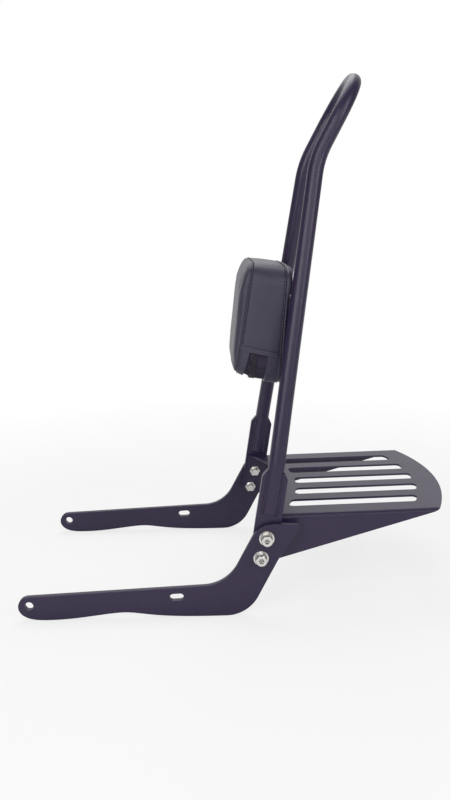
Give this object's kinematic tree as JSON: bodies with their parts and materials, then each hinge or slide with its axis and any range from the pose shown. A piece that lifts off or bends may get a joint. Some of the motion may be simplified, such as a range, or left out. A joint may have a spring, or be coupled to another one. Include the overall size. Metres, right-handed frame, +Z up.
{
  "type": "sissy bar",
  "caption": "Detachable motorcycle sissy bar: tube hoop on welded tabs, bolt-on side plates, slotted luggage rack and a zipped backrest pad.",
  "frame": {"origin": "midway between the two front strut holes, on their shared axis", "axes": "+X to the rear of the motorcycle, +Y to its right, +Z up"},
  "size_m": [0.5158, 0.2722, 0.6318],
  "materials": {
    "powder_coat": "satin",
    "zinc_plate": "bright",
    "vinyl_cover": "grained, semi-matte",
    "zip_tape": "woven",
    "black_slider": "satin",
    "plywood": "raw",
    "foam": "open cell"
  },
  "bodies": {
    "root": {"left_side_plate": "powder_coat", "right_side_plate": "powder_coat", "left_tab": "powder_coat", "right_tab": "powder_coat", "hoop": "powder_coat", "luggage_rack": "powder_coat", "cross_plate": "powder_coat", "joint_screws": "zinc_plate", "joint_washers": "zinc_plate", "joint_nuts": "zinc_plate", "pad_screws": "zinc_plate", "pad_washers": "zinc_plate", "pad_tee_nuts": "zinc_plate", "pad_back_panel": "vinyl_cover", "pad_boxing": "vinyl_cover", "pad_zip_panel": "vinyl_cover", "pad_front_panel": "vinyl_cover", "pad_zip": "zip_tape", "pad_zip_slider": "black_slider", "pad_board": "plywood", "pad_foam": "foam"}
  },
  "joints": []
}
